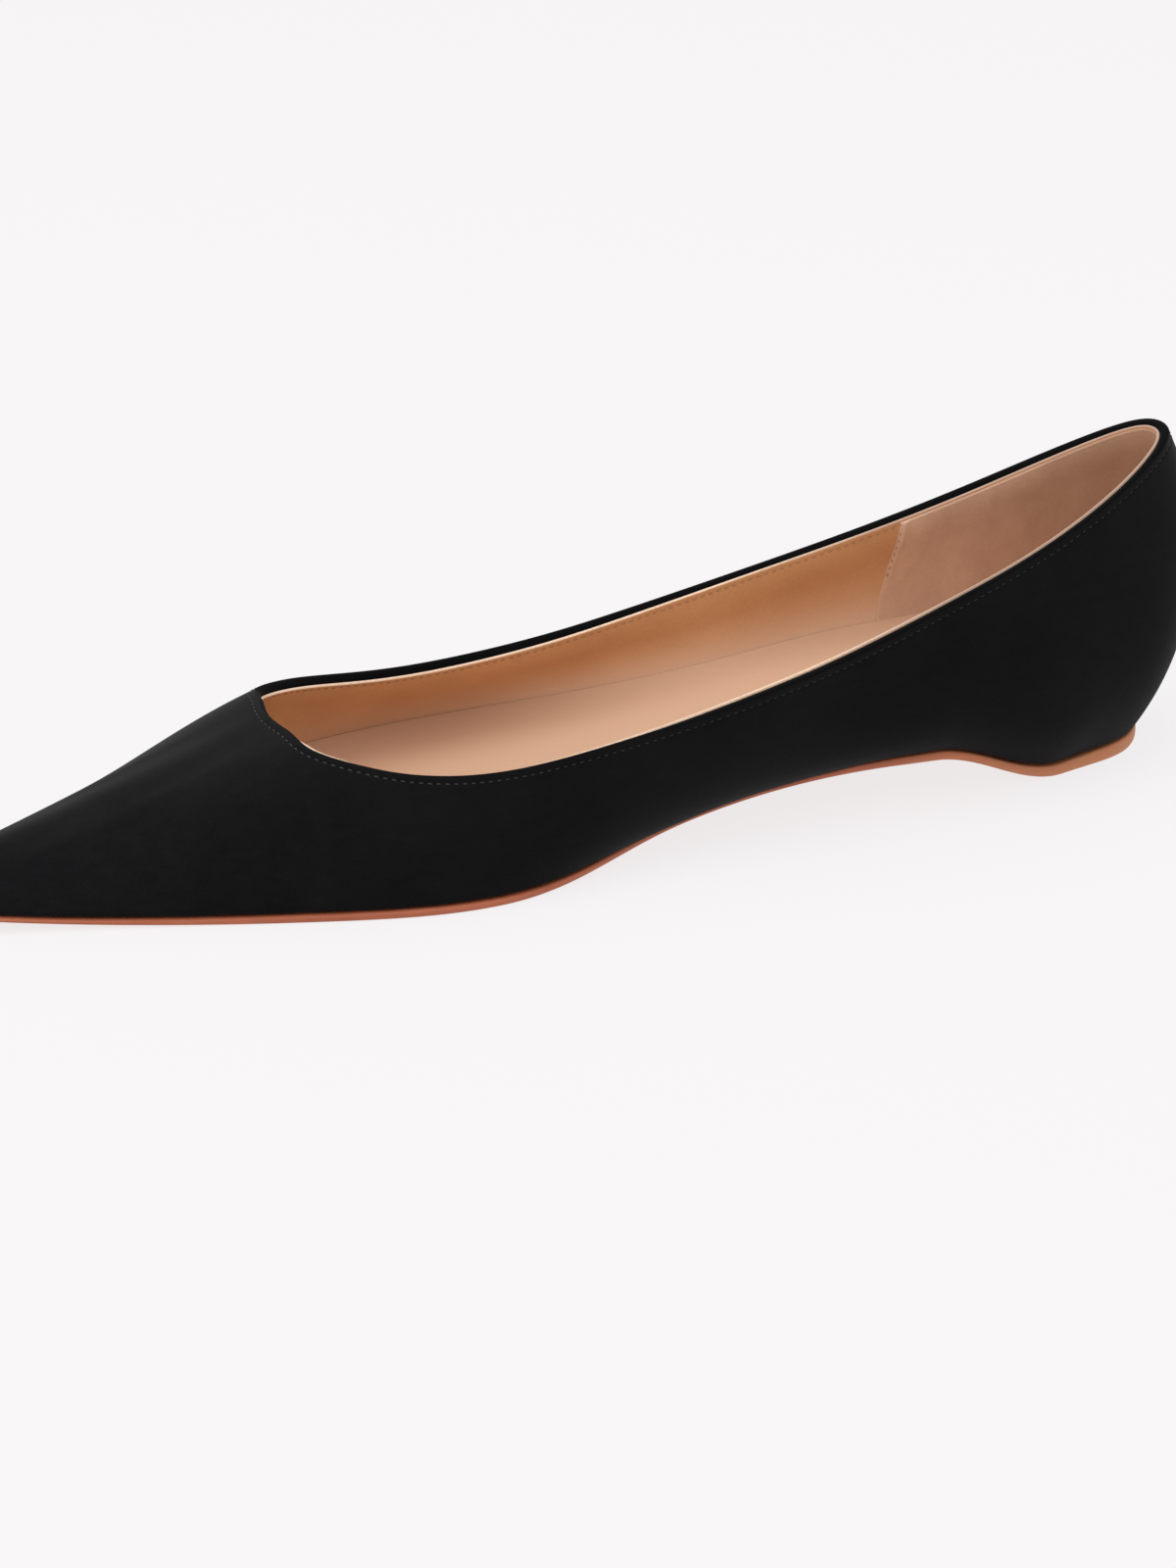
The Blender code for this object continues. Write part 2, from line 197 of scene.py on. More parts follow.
def topLine(turn):
    height = last["throatHeight"] + topRise(turn) * (last["backHeight"] - last["throatHeight"])
    along = topAlong(turn) * last["length"]
    points = np.stack([along, topAcross(turn) * last["ballWidth"], height], axis=-1)
    return points, outward(topAlong, topAcross, turn)


# Points of the upper's outer face, for a row of turns and a table of shares up each.
def wallFace(turn, up):
    foot, footOut = footLine(turn)
    top, topOut = topLine(turn)
    reach = np.linalg.norm(top - foot, axis=-1, keepdims=True)
    forward = (foot - top) * [1.0, 1.0, 0.0] + last["outwardLean"] * reach * topOut
    forward /= np.linalg.norm(forward, axis=-1, keepdims=True)
    leanOut = np.radians(flare(turn))[:, None]
    leanIn = np.radians(tuck(turn))[:, None]
    upright = np.array([0.0, 0.0, 1.0])
    lowArm = lowPull(turn)[:, None] * reach
    highArm = highPull(turn)[:, None] * reach
    low = foot + lowArm * (np.sin(leanOut) * footOut + np.cos(leanOut) * upright)
    high = top + highArm * (np.sin(leanIn) * forward - np.cos(leanIn) * upright)
    weights = ((1 - up) ** 3, 3 * up * (1 - up) ** 2, 3 * up**2 * (1 - up), up**3)
    corners = (foot, low, high, top)
    return sum(corner[:, None, :] * weight[..., None] for corner, weight in zip(corners, weights))


# The climb and the outward direction of the wall at the same places.
def wallFrame(turn, up):
    roundIt = wallFace(turn + 0.05, up) - wallFace(turn - 0.05, up)
    climb = wallFace(turn, np.minimum(up + 0.001, 1.0)) - wallFace(turn, np.maximum(up - 0.001, 0.0))
    climb /= np.linalg.norm(climb, axis=-1, keepdims=True)
    out = np.cross(climb, roundIt)
    out /= np.linalg.norm(out, axis=-1, keepdims=True)
    return climb, out


# The share up the wall at each distance down from the topline.
def sharesUp(turn, distance):
    even = np.tile(np.linspace(0.0, 1.0, 241), (len(turn), 1))
    points = wallFace(turn, even)
    steps = np.linalg.norm(np.diff(points, axis=1), axis=-1)
    fromTop = np.concatenate([np.cumsum(steps[:, ::-1], axis=1)[:, ::-1], np.zeros((len(turn), 1))], axis=1)
    found = [np.interp(-want, -line, share) for want, line, share in zip(distance, fromTop, even)]
    return np.array(found), fromTop[:, 0]


def wallLengths(turn):
    return sharesUp(turn, np.zeros((len(turn), 1)))[1]


# Distances from the topline: fine ones in millimetres, then shares of what is left.
def rowDistances(turn, fine, coarse):
    whole = wallLengths(turn)[:, None]
    fine = np.array(fine)[None, :] * np.ones_like(whole)
    rest = fine[:, -1:] + (whole - fine[:, -1:]) * np.array(coarse)[None, :]
    return np.concatenate([fine, rest], axis=1)


def sideTurns(count):
    even = np.linspace(0.0, 1.0, count + 1)
    eased = (1.0 - np.cos(np.pi * even)) / 2.0
    return (0.45 * even + 0.55 * eased) * sideLength


def ringTurns(count):
    medial = sideTurns(count)
    return np.concatenate([medial, 2.0 * sideLength - medial[-2:0:-1]])


shiftTurns = np.linspace(0.0, 2.0 * sideLength, 200)
shiftWall = wallFace(shiftTurns, np.tile(np.linspace(0.0, 1.0, 20), (200, 1)))[..., 1]
sideShift = (shiftWall.min() + shiftWall.max()) / 2.0


def onFrame(points):
    moved = np.array(points, float)
    moved[..., 0] -= last["length"] / 2.0
    moved[..., 1] -= sideShift
    return moved * 0.001


# One mesh from a grid of points. faceFinish gives each column of faces its material, and
# shares says how far down the wall each point lies, for the finishes that change there.
def gridPiece(name, rows, closedRows, closedSections, materials, faceFinish=None, shares=None):
    points = onFrame(rows)
    count, around = points.shape[:2]
    index = np.arange(count * around).reshape(count, around)
    here = index if closedRows else index[:-1]
    there = np.roll(index, -1, axis=0) if closedRows else index[1:]
    if closedSections:
        hereNext, thereNext = np.roll(here, -1, axis=1), np.roll(there, -1, axis=1)
    else:
        here, hereNext = here[:, :-1], here[:, 1:]
        there, thereNext = there[:, :-1], there[:, 1:]
    faces = np.stack([here, there, thereNext, hereNext], axis=-1)
    mesh = bpy.data.meshes.new(name)
    mesh.from_pydata(points.reshape(-1, 3).tolist(), [], faces.reshape(-1, 4).tolist())
    for material in materials:
        mesh.materials.append(material)
    if faceFinish is not None:
        wanted = np.tile(np.array(faceFinish)[: faces.shape[1]], (faces.shape[0], 1))
        mesh.polygons.foreach_set("material_index", wanted.reshape(-1).astype(np.int32))
    if shares is not None:
        stored = mesh.attributes.new("share", "FLOAT", "POINT")
        stored.data.foreach_set("value", shares.reshape(-1).astype(np.float32))
    solid = bmesh.new()
    solid.from_mesh(mesh)
    bmesh.ops.remove_doubles(solid, verts=solid.verts, dist=0.000002)
    bmesh.ops.recalc_face_normals(solid, faces=solid.faces)
    solid.to_mesh(mesh)
    solid.free()
    mesh.shade_smooth()
    piece = bpy.data.objects.new(name, mesh)
    bpy.context.scene.collection.objects.link(piece)
    return piece


# A short way to build one material: nodes are added and joined by name.
class Finish:
    def __init__(self, name, **sockets):
        self.material = bpy.data.materials.new(name)
        self.material.use_nodes = True
        self.tree = self.material.node_tree
        self.shader = self.tree.nodes["Principled BSDF"]
        for socket, value in sockets.items():
            self.shader.inputs[socket.replace("_", " ")].default_value = value
        self.place = self.tree.nodes.new("ShaderNodeTexCoord").outputs["Object"]

    def add(self, kind, inputs=None, **settings):
        node = self.tree.nodes.new(kind)
        for name, value in settings.items():
            setattr(node, name, value)
        for name, value in (inputs or {}).items():
            if isinstance(value, bpy.types.NodeSocket):
                self.tree.links.new(value, node.inputs[name])
            else:
                node.inputs[name].default_value = value
        return node

    def stretch(self, scale):
        return self.add("ShaderNodeMapping", {"Vector": self.place, "Scale": scale}).outputs[0]

    def share(self):
        return self.add("ShaderNodeAttribute", attribute_name="share").outputs["Fac"]

    def ranged(self, value, start, end, low=0.0, high=1.0, kind="LINEAR"):
        inputs = {"Value": value, "From Min": start, "From Max": end, "To Min": low, "To Max": high}
        return self.add("ShaderNodeMapRange", inputs, interpolation_type=kind).outputs[0]

    def along(self, start, end, low, high):
        spot = self.add("ShaderNodeSeparateXYZ", {"Vector": self.place}).outputs["X"]
        return self.ranged(spot, start, end, low, high)

    def times(self, first, second):
        return self.add("ShaderNodeMath", {0: first, 1: second}, operation="MULTIPLY").outputs[0]

    def noise(self, scale, detail=2.0, rough=0.5, at=None):
        inputs = {"Vector": at or self.place, "Scale": scale, "Detail": detail, "Roughness": rough}
        return self.add("ShaderNodeTexNoise", inputs).outputs["Fac"]

    def cells(self, scale, at=None):
        inputs = {"Vector": at or self.place, "Scale": scale}
        return self.add("ShaderNodeTexVoronoi", inputs, feature="SMOOTH_F1").outputs["Distance"]

    def ramp(self, value, stops):
        node = self.add("ShaderNodeValToRGB", {"Fac": value})
        elements = node.color_ramp.elements
        while len(elements) < len(stops):
            elements.new(0.5)
        for element, (spot, colour) in zip(elements, stops):
            element.position = spot
            element.color = (*colour, 1.0) if isinstance(colour, tuple) else (colour,) * 3 + (1.0,)
        return node.outputs["Color"]

    def blend(self, share, first, second, how="MIX"):
        node = self.add("ShaderNodeMix", data_type="RGBA", blend_type=how)
        for socket, value in ((node.inputs[0], share), (node.inputs[6], first), (node.inputs[7], second)):
            if isinstance(value, bpy.types.NodeSocket):
                self.tree.links.new(value, socket)
            else:
                socket.default_value = (*value, 1.0) if isinstance(value, tuple) else value
        return node.outputs[2]

    def sum(self, *parts):
        total = None
        for share, value in parts:
            scaled = self.times(value, share)
            total = scaled if total is None else self.add("ShaderNodeMath", {0: total, 1: scaled}).outputs[0]
        return total

    def middle(self, value, low, high):
        return self.ranged(value, 0.3, 0.7, low, high)

    def bump(self, height, depth, strength=1.0):
        node = self.add("ShaderNodeBump", {"Height": height, "Distance": depth, "Strength": strength})
        self.tree.links.new(node.outputs[0], self.shader.inputs["Normal"])

    def use(self, socket, value):
        self.tree.links.new(value, self.shader.inputs[socket])


suedeLook = {
    "deep": (0.0026, 0.0025, 0.0031),
    "worn": (0.0084, 0.0080, 0.0087),
    "napScale": 2600.0,
    "sheen": 0.18,
    "sheenLow": 0.07,  # where the wall turns in over the sole; painted shade there, against the glow from the floor
    # painted shade: near-black laid on the fold over the topline and towards the heel
    "black": (0.0006, 0.0006, 0.0008),
    "brushStretch": (0.35, 1.0, 1.0),  # brush marks run along the shoe
    "paintedShadeToHeel": (-0.1, -0.01),  # painted shade: colour and sheen grow darker between these places along, in metres
}


def suedeFinish():
    finish = Finish(
        "blackSuede",
        Roughness=0.92,
        Specular_IOR_Level=0.09,
        Sheen_Roughness=0.45,
        Sheen_Tint=(0.42, 0.41, 0.42, 1.0),
    )
    nap = finish.noise(suedeLook["napScale"], 3.0, 0.65)
    brushed = finish.noise(520.0, 3.0, 0.6, finish.stretch(suedeLook["brushStretch"]))
    patches = finish.noise(38.0, 3.0, 0.55)
    tone = finish.sum((0.3, nap), (0.25, brushed), (0.45, patches))
    colour = finish.ramp(tone, [(0.36, suedeLook["deep"]), (0.66, suedeLook["worn"])])
    share = finish.share()
    # Painted shade: the fold over the topline faces up, so it is painted near-black and loses most of its
    # sheen.
    paintedFoldShade = finish.ranged(share, -0.4, -0.05, 0.25, 1.0)
    # Painted shade: less sheen low on the wall, against the glow from the floor.
    sheen = finish.ranged(share, 0.55, 0.95, suedeLook["sheen"], suedeLook["sheenLow"])
    sheen = finish.times(sheen, paintedFoldShade)
    # Painted shade: colour and sheen darken towards the heel.
    finish.use("Sheen Weight", finish.times(sheen, finish.along(*suedeLook["paintedShadeToHeel"], 1.12, 0.85)))
    colour = finish.blend(finish.along(*suedeLook["paintedShadeToHeel"], 0.0, 0.45), colour, suedeLook["black"])
    finish.use("Base Color", finish.blend(paintedFoldShade, suedeLook["black"], colour))
    finish.bump(finish.sum((0.7, nap), (0.5, brushed)), 0.00012, 0.6)
    return finish.material


liningLook = {
    "light": (0.66, 0.355, 0.165),
    "dark": (0.55, 0.275, 0.115),
    "paintedShading": (0.82, 0.57, 0.41),  # painted light: paler low on the wall, where light bounces up from the sock, and more so towards the heel
    "paintedShadingFrom": -0.06,
    "paintedShadingTo": 0.01,
    "paintedShadingAtToe": 0.45,
    "paintedShadingAtHeel": 1.0,
    "grainScale": 1900.0,
}

sockLook = {
    "light": (0.86, 0.575, 0.385),
    "dark": (0.79, 0.51, 0.325),
    "paintedShading": (0.655, 0.425, 0.285),  # colour behind the toes; the brighter colours kept at the toe end are painted light against the shade there
    "paintedShadingFrom": -0.075,
    "paintedShadingTo": -0.035,
    "paintedShadingAtToe": 0.0,
    "paintedShadingAtHeel": 1.0,
    "grainScale": 1700.0,
}


def leatherFinish(name, look, roughness, depth, lowOnly):
    finish = Finish(name, Specular_IOR_Level=0.42)
    grain = finish.cells(look["grainScale"])
    pores = finish.noise(look["grainScale"] * 1.7, 2.0, 0.6)
    cloud = finish.noise(75.0, 3.0, 0.5)
    tone = finish.sum((0.22, grain), (0.2, pores), (0.58, cloud))
    colour = finish.ramp(tone, [(0.3, look["dark"]), (0.62, look["light"])])
    # Painted light and shade: the colour blends along the shoe to the look's painted tone, on the lining only
    # low on the wall.
    paintedShading = finish.along(look["paintedShadingFrom"], look["paintedShadingTo"], look["paintedShadingAtToe"], look["paintedShadingAtHeel"])
    if lowOnly:
        paintedShading = finish.times(paintedShading, finish.ranged(finish.share(), 0.25, 0.95, kind="SMOOTHSTEP"))
    finish.use("Base Color", finish.blend(paintedShading, colour, look["paintedShading"]))
    worn = finish.sum((0.6, cloud), (0.4, grain))
    finish.use("Roughness", finish.middle(worn, roughness - 0.06, roughness + 0.08))
    finish.bump(finish.sum((0.8, grain), (0.35, pores)), depth, 0.7)
    return finish.material


gripLook = {
    "light": (0.72, 0.485, 0.34),
    "dark": (0.58, 0.37, 0.255),
    "rubbed": (0.42, 0.235, 0.145),  # at the back of the heel
    "rubbedFrom": (0.1, 0.135),
}


def gripFinish():
    finish = Finish(
        "heelGripSuede",
        Roughness=0.85,
        Specular_IOR_Level=0.15,
        Sheen_Weight=0.25,
        Sheen_Roughness=0.5,
        Sheen_Tint=(0.95, 0.8, 0.72, 1.0),
    )
    nap = finish.noise(2400.0, 3.0, 0.65)
    rubbed = finish.noise(130.0, 3.0, 0.6, finish.stretch((1.0, 1.0, 0.5)))
    tone = finish.sum((0.4, nap), (0.6, rubbed))
    colour = finish.ramp(tone, [(0.35, gripLook["dark"]), (0.65, gripLook["light"])])
    atBack = finish.along(*gripLook["rubbedFrom"], 0.0, 0.8)
    finish.use("Base Color", finish.blend(atBack, colour, gripLook["rubbed"]))
    finish.bump(nap, 0.0001, 0.6)
    return finish.material


edgeLook = {
    "light": (0.94, 0.72, 0.55),
    "dark": (0.70, 0.48, 0.34),
    "heel": (0.45, 0.29, 0.22),
    "heelFrom": (0.045, 0.08),
}


def edgeFinish():
    finish = Finish("rawLiningEdge", Roughness=0.8, Specular_IOR_Level=0.2)
    fibres = finish.noise(2200.0, 3.0, 0.7)
    colour = finish.ramp(fibres, [(0.3, edgeLook["dark"]), (0.7, edgeLook["light"])])
    atHeel = finish.along(*edgeLook["heelFrom"], 0.0, 0.85)
    finish.use("Base Color", finish.blend(atHeel, colour, edgeLook["heel"]))
    finish.bump(fibres, 0.0001, 0.8)
    return finish.material


soleLook = {
    "light": (0.46, 0.135, 0.065),
    "dark": (0.32, 0.085, 0.038),
    "heel": (0.50, 0.20, 0.085),
    "heelFrom": (0.06, 0.11),
    "layerStretch": (0.06, 0.06, 1.0),
}


def soleFinish():
    finish = Finish("soleLeather", Specular_IOR_Level=0.35)
    layers = finish.noise(900.0, 2.0, 0.6, finish.stretch(soleLook["layerStretch"]))
    cloud = finish.noise(140.0, 3.0, 0.6)
    fine = finish.noise(3200.0, 2.0, 0.6)
    tone = finish.sum((0.45, layers), (0.35, cloud), (0.2, fine))
    colour = finish.ramp(tone, [(0.35, soleLook["dark"]), (0.65, soleLook["light"])])
    atHeel = finish.along(*soleLook["heelFrom"], 0.0, 0.8)
    finish.use("Base Color", finish.blend(atHeel, colour, soleLook["heel"]))
    finish.use("Roughness", finish.middle(cloud, 0.42, 0.6))
    finish.bump(finish.sum((0.6, layers), (0.4, fine)), 0.00008, 0.6)
    return finish.material


boardLook = {"light": (0.46, 0.34, 0.23), "dark": (0.30, 0.21, 0.13), "stretch": (0.4, 1.0, 1.0)}


def boardFinish():
    finish = Finish("insoleBoard", Roughness=0.85)
    fibres = finish.noise(1300.0, 4.0, 0.7, finish.stretch(boardLook["stretch"]))
    finish.use("Base Color", finish.ramp(fibres, [(0.3, boardLook["dark"]), (0.7, boardLook["light"])]))
    finish.bump(fibres, 0.0002, 0.6)
    return finish.material


blackThreadLook = {
    "light": (0.040, 0.043, 0.048),
    "dark": (0.018, 0.019, 0.022),
    "fadeTone": (0.0022, 0.0022, 0.0027),
}
tanThreadLook = {"light": (0.48, 0.24, 0.13), "dark": (0.36, 0.16, 0.08), "fadeTone": (0.40, 0.20, 0.11)}
threadFadesAlong = (-0.045, 0.0)  # along, in metres


# Behind the throat the thread's colour turns to that of the leather round it, so the stitches fade out there.
def threadFinish(name, look):
    finish = Finish(name, Roughness=0.6, Specular_IOR_Level=0.3)
    twist = finish.noise(5200.0, 2.0, 0.5)
    colour = finish.ramp(twist, [(0.35, look["dark"]), (0.65, look["light"])])
    finish.use("Base Color", finish.blend(finish.along(*threadFadesAlong, 0.0, 0.95), colour, look["fadeTone"]))
    finish.bump(twist, 0.00005, 0.8)
    return finish.material


suede = suedeFinish()
liningLeather = leatherFinish("liningLeather", liningLook, 0.42, 0.00005, True)
sockLeather = leatherFinish("sockLeather", sockLook, 0.34, 0.00005, False)
gripSuede = gripFinish()
rawEdge = edgeFinish()
soleLeather = soleFinish()
insoleBoard = boardFinish()
blackThread = threadFinish("blackThread", blackThreadLook)
tanThread = threadFinish("tanThread", tanThreadLook)
print("finishes made")

rim = {
    "fold": 1.9,  # suede folded double over the edge
    "crest": 0.55,  # how far the fold rises over the topline
    "swell": 0.1,  # the soft roll between the edge and the stitches
    "stitchDown": 1.45,  # stitches lie this far below the edge
    "groove": 0.12,
    "liningEdge": 0.6,  # thickness of the lining's cut edge
    "proudMedial": 0.8,  # height of the cut edge over the topline
    "proudLateral": 0.2,
    "proudFront": 0.85,  # more beside the throat on the medial side, where the wall leans in
    "frontStarts": (10.0, 36.0),  # round the topline from the throat
    "frontEnds": (46.0, 82.0),
    "liningEases": (3.0, 12.0),  # the fold under the lining thins out over this, down
    "suedeDepth": 1.15,  # thickness of the suede below the fold
    "innerStitchDown": 1.1,
    "innerGroove": 0.08,
    "featherRound": 0.9,  # the suede turns in over the sole
}


# Points round the rim: each spot is how far in from the outer face, and how far up.
def rimPoints(turn, spots):
    up = np.ones((len(turn), 1))
    climb, out = wallFrame(turn, up)
    top = wallFace(turn, up)
    inward, high = (np.asarray(v, float) for v in zip(*spots)) if isinstance(spots, list) else spots
    return top - out * inward[..., None] + climb * high[..., None]


# How far the suede stands out from the wall at each distance below the topline.
def faceOffset(down):
    roll = rim["swell"] * np.cos(np.clip(down / rim["stitchDown"], 0.0, 1.0) * math.pi / 2.0)
    groove = rim["groove"] * np.exp(-(((down - rim["stitchDown"]) / 0.32) ** 2))
    return roll - groove


# How far the face has turned in, by what is left of it down to the sole.
def featherIn(left):
    share = np.clip(1.0 - left / rim["featherRound"], 0.0, 1.0)
    return 0.55 * rim["featherRound"] * (1.0 - np.sqrt(np.maximum(1.0 - share**2, 0.0)))


def makeSuede():
    turn = ringTurns(330)
    fine = [0.0, 0.25, 0.5, 0.8, 1.05, 1.2, 1.35, 1.45, 1.55, 1.7, 1.9, 2.2, 2.7, 3.3, 4.1, 5.2, 6.6]
    coarse = 1.0 - (1.0 - np.linspace(0.0, 1.0, 45)[1:]) ** 1.15
    down = rowDistances(turn, fine, coarse)
    up, whole = sharesUp(turn, down)
    out = wallFrame(turn, up)[1]
    offset = faceOffset(down) - featherIn(whole[:, None] - down)
    outside = wallFace(turn, up) + out * offset[..., None]
    angles = np.radians(np.linspace(14.0, 180.0, 11))
    middle, half = rim["fold"] / 2.0 - rim["swell"] / 2.0, rim["fold"] / 2.0 + rim["swell"] / 2.0
    crest = [(middle - half * math.cos(a), rim["crest"] * math.sin(a)) for a in angles]
    crest += [(rim["fold"], -0.8), (rim["fold"] - 0.1, -2.0)]
    fold = rimPoints(turn, crest)
    behind = rowDistances(turn, [3.0, 5.0, 8.0], np.linspace(0.0, 1.0, 14)[1:])
    upBehind = sharesUp(turn, behind)[0]
    inside = wallFace(turn, upBehind) - rim["suedeDepth"] * wallFrame(turn, upBehind)[1]
    inside[..., 2] = np.maximum(inside[..., 2], soleTop(inside[..., 0]) + last["gap"])
    rows = np.concatenate([outside[:, ::-1], fold, inside], axis=1)
    shares = np.zeros(rows.shape[:2])
    shares[:, : down.shape[1]] = (down / whole[:, None])[:, ::-1]
    # The fold's points are marked -0.5, which the suede finish paints as shade.
    shares[:, down.shape[1] : down.shape[1] + fold.shape[1]] = -0.5
    piece = gridPiece("suede_upper", rows, True, True, [suede], shares=shares)
    print("suede upper:", len(piece.data.polygons), "faces")
    return piece


suedeUpper = makeSuede()


# Depth of the lining's inner face: it is pushed in by the folded suede near the edge.
def liningDepth(down):
    extra = rim["fold"] + rim["liningEdge"] - last["wall"]
    groove = rim["innerGroove"] * np.exp(-(((down - rim["innerStitchDown"]) / 0.3) ** 2))
    return last["wall"] + extra * (1.0 - smoothStep(down, *rim["liningEases"])) - groove


# Height of the lining's cut edge over the topline, medial to lateral.
def proud(turn):
    side = np.sin(np.pi * turn / sideLength)
    height = rim["proudLateral"] + (rim["proudMedial"] - rim["proudLateral"]) * smoothStep(side, -0.1, 0.35)
    front = sideLength - np.abs(turn)
    atFront = smoothStep(front, *rim["frontStarts"]) * (1.0 - smoothStep(front, *rim["frontEnds"]))
    return height + rim["proudFront"] * atFront * (turn > 0.0)


def insideFace(turn, down, depth):
    up = sharesUp(turn, down)[0]
    points = wallFace(turn, up) - wallFrame(turn, up)[1] * depth[..., None]
    points[..., 2] = np.maximum(points[..., 2], soleTop(points[..., 0]) + last["gap"] + up)
    return points


def makeLining():
    turn = ringTurns(300)
    fine = [0.4, 0.65, 0.85, 1.0, 1.1, 1.2, 1.35, 1.6, 2.0, 2.6, 3.4, 4.4, 5.8, 7.6, 9.4, 12.0]
    down = rowDistances(turn, fine, np.linspace(0.0, 1.0, 26)[1:])
    inner = insideFace(turn, down, liningDepth(down))
    high = proud(turn)[:, None]
    thick, start = rim["liningEdge"], rim["fold"]
    inward = start + thick * np.array([0.0, 0.02, 0.12, 0.5, 0.88, 0.98, 1.0])[None, :] * np.ones_like(high)
    rise = high + np.array([-0.5, -0.16, -0.03, 0.0, -0.04, -0.18, -0.4])[None, :]
    edge = rimPoints(turn, (inward, rise))
    backDown = rowDistances(turn, [2.5, 5.0, 8.0], np.linspace(0.0, 1.0, 12)[1:])
    back = insideFace(turn, backDown, np.full(backDown.shape, 1.2))
    rows = np.concatenate([back[:, ::-1], edge, inner], axis=1)
    finishes = [0] * back.shape[1] + [1] * 5 + [0] * rows.shape[1]  # the cut edge is raw
    # Shares down the wall, which place the lining's painted light low on it.
    shares = np.zeros(rows.shape[:2])
    shares[:, -down.shape[1] :] = down / wallLengths(turn)[:, None]
    piece = gridPiece("lining", rows, True, True, [liningLeather, rawEdge], finishes, shares)
    print("lining:", len(piece.data.polygons), "faces")
    return piece


lining = makeLining()

grip = {
    "reachTop": 57.0,  # from the heel back to the grip's front edge, at the topline
    "reachFoot": 54.6,
    "reachDown": 26.0,  # it is at its foot this far down
    "shortOfFoot": 3.0,
    "thickness": 0.28,
    "ridge": 0.34,  # the turned front edge stands up by this, in its upper half
    "ridgeBehind": 1.15,
    "ridgeWide": 0.7,
    "ridgeEnds": (9.0, 19.0),  # down from the topline
    "stitchBehind": 0.35,
    "stitchedDown": 15.0,
}


def gripReach(down):
    share = np.clip(down / grip["reachDown"], 0.0, 1.0)
    return grip["reachTop"] + (grip["reachFoot"] - grip["reachTop"]) * share


# Points over the lining at places round from the heel back and down from the topline.
def overLining(spot, down, height):
    turn = np.mod(spot, 2.0 * sideLength).reshape(-1)
    up = sharesUp(turn, down.reshape(-1, 1))[0]
    out = wallFrame(turn, up)[1][:, 0].reshape(*down.shape, 3)
    face = wallFace(turn, up)[:, 0].reshape(*down.shape, 3)
    return face - out * (liningDepth(down) + height)[..., None], out


def makeGrip():
    even = np.linspace(0.0, 1.0, 61)
    near = 1.0 - np.linspace(0.0, 5.0, 21)[1:] / grip["reachTop"]
    half = np.sort(np.concatenate([even[even < near[-1]], near, [1.0]]))
    share = np.concatenate([-half[:0:-1], half])[:, None]
    down = np.concatenate([np.linspace(0.3, 5.0, 14), np.linspace(6.0, 60.0, 40)])[None, :]
    spot = share * gripReach(down)
    whole = wallLengths(np.mod(spot, 2.0 * sideLength).reshape(-1)).reshape(spot.shape)
    down = np.minimum(down + 0.0 * spot, whole - grip["shortOfFoot"])
    left = (1.0 - np.abs(share)) * grip["reachTop"] + 0.0 * spot
    thick = grip["thickness"] * np.sqrt(np.clip(left / 0.5, 0.0, 1.0))
    ridge = np.exp(-(((left - grip["ridgeBehind"]) / grip["ridgeWide"]) ** 2)) * np.clip(left / 0.4, 0.0, 1.0)
    thick += grip["ridge"] * ridge * (1.0 - smoothStep(down, *grip["ridgeEnds"]))
    thick *= np.clip((down - 0.25) / 0.3, 0.0, 1.0)
    outer = overLining(spot, down, np.full(spot.shape, -0.25))[0]
    inner = overLining(spot, down, 0.02 + thick)[0]
    piece = gridPiece("heel_grip", np.concatenate([outer[:, ::-1], inner], axis=1), False, True, [gripSuede])
    print("heel grip:", len(piece.data.polygons), "faces")
    return piece


heelGrip = makeGrip()


def bedEdge(turn, height, depth):
    share = np.tile(np.linspace(0.0, 1.0, 90), (len(turn), 1))
    inner = wallFace(turn, share) - wallFrame(turn, share)[1] * depth
    inner[..., 2] = np.maximum(inner[..., 2], soleTop(inner[..., 0]) + last["gap"] + share)
    points = []
    for line in inner:
        wanted = float(height(line[0, 0]))
        i = int(np.clip(np.argmax(line[:, 2] >= wanted), 1, 88))
        step = (wanted - line[i - 1, 2]) / (line[i, 2] - line[i - 1, 2])
        point = line[i - 1] + step * (line[i] - line[i - 1])
        points.append([point[0], point[1], wanted])
    return np.array(points)


sockShape = {
    "curl": 1.25,  # its edge climbs the wall by this, between the toes and the heel
    "curlStarts": (40.0, 85.0),
    "curlEnds": (150.0, 215.0),
    "curlLost": 0.85,
    "curlWide": 6.5,
    "room": 0.12,  # left between its edge and the lining
    "across": 49,
}


def sockCurl(along):
    lost = sockShape["curlLost"] * smoothStep(along, *sockShape["curlEnds"])
    return sockShape["curl"] * smoothStep(along, *sockShape["curlStarts"]) * (1.0 - lost)


